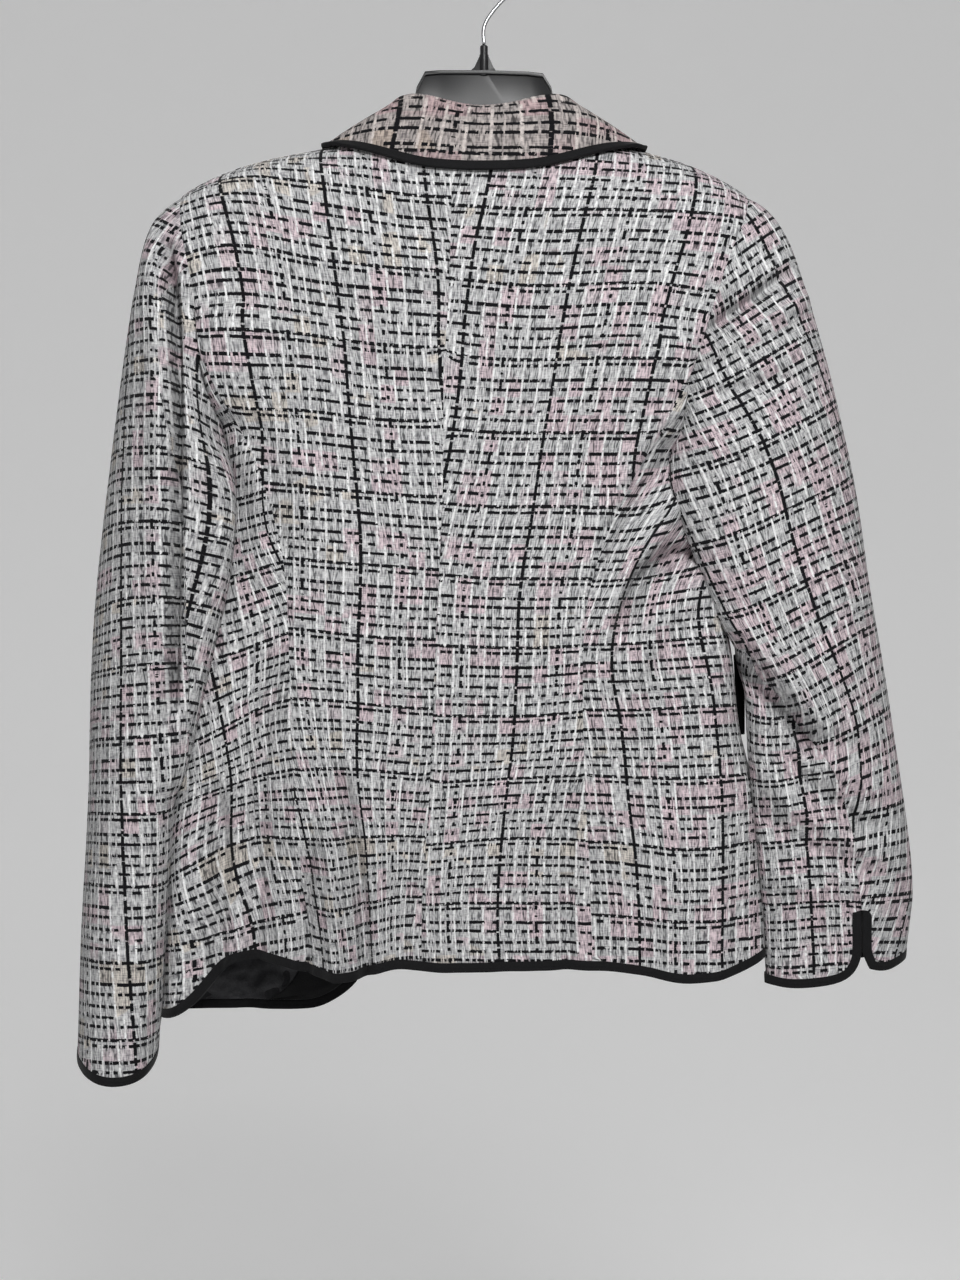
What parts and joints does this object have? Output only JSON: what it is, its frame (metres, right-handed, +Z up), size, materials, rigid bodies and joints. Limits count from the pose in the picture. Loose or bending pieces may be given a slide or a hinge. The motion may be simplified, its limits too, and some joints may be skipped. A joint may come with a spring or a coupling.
{
  "type": "cropped tweed jacket on a hanger",
  "caption": "Cropped tweed jacket with black bound edges and a turned-down collar, hanging open on a black plastic hanger with a wire hook.",
  "frame": {"origin": "inside top of the hanger's hook, where it sits on a rail", "axes": "+Z up; the jacket's back faces -Y; the wearer's left side is at -X"},
  "size_m": [0.5669, 0.1097, 0.7628],
  "materials": {
    "tweed": "checked boucle tweed",
    "binding": "matt folded tape",
    "facing": "matt plain cloth",
    "lining": "satin",
    "hanger_plastic": "smooth moulded",
    "hook_steel": "bright wire"
  },
  "bodies": {
    "root": {"back_centre_left": "tweed", "back_centre_right": "tweed", "side_back_left": "tweed", "side_back_right": "tweed", "front_left": "tweed", "front_right": "tweed", "upper_sleeve_left": "tweed", "under_sleeve_left": "tweed", "upper_sleeve_right": "tweed", "under_sleeve_right": "tweed", "collar": "tweed", "collar_binding": "binding", "hem_binding": "binding", "front_binding_left": "binding", "front_binding_right": "binding", "cuff_binding_left": "binding", "cuff_binding_right": "binding", "pocket_edge_right": "binding", "front_facing_left": "facing", "front_lining_left": "lining", "hanger_body": "hanger_plastic", "hanger_hook": "hook_steel"}
  },
  "joints": []
}
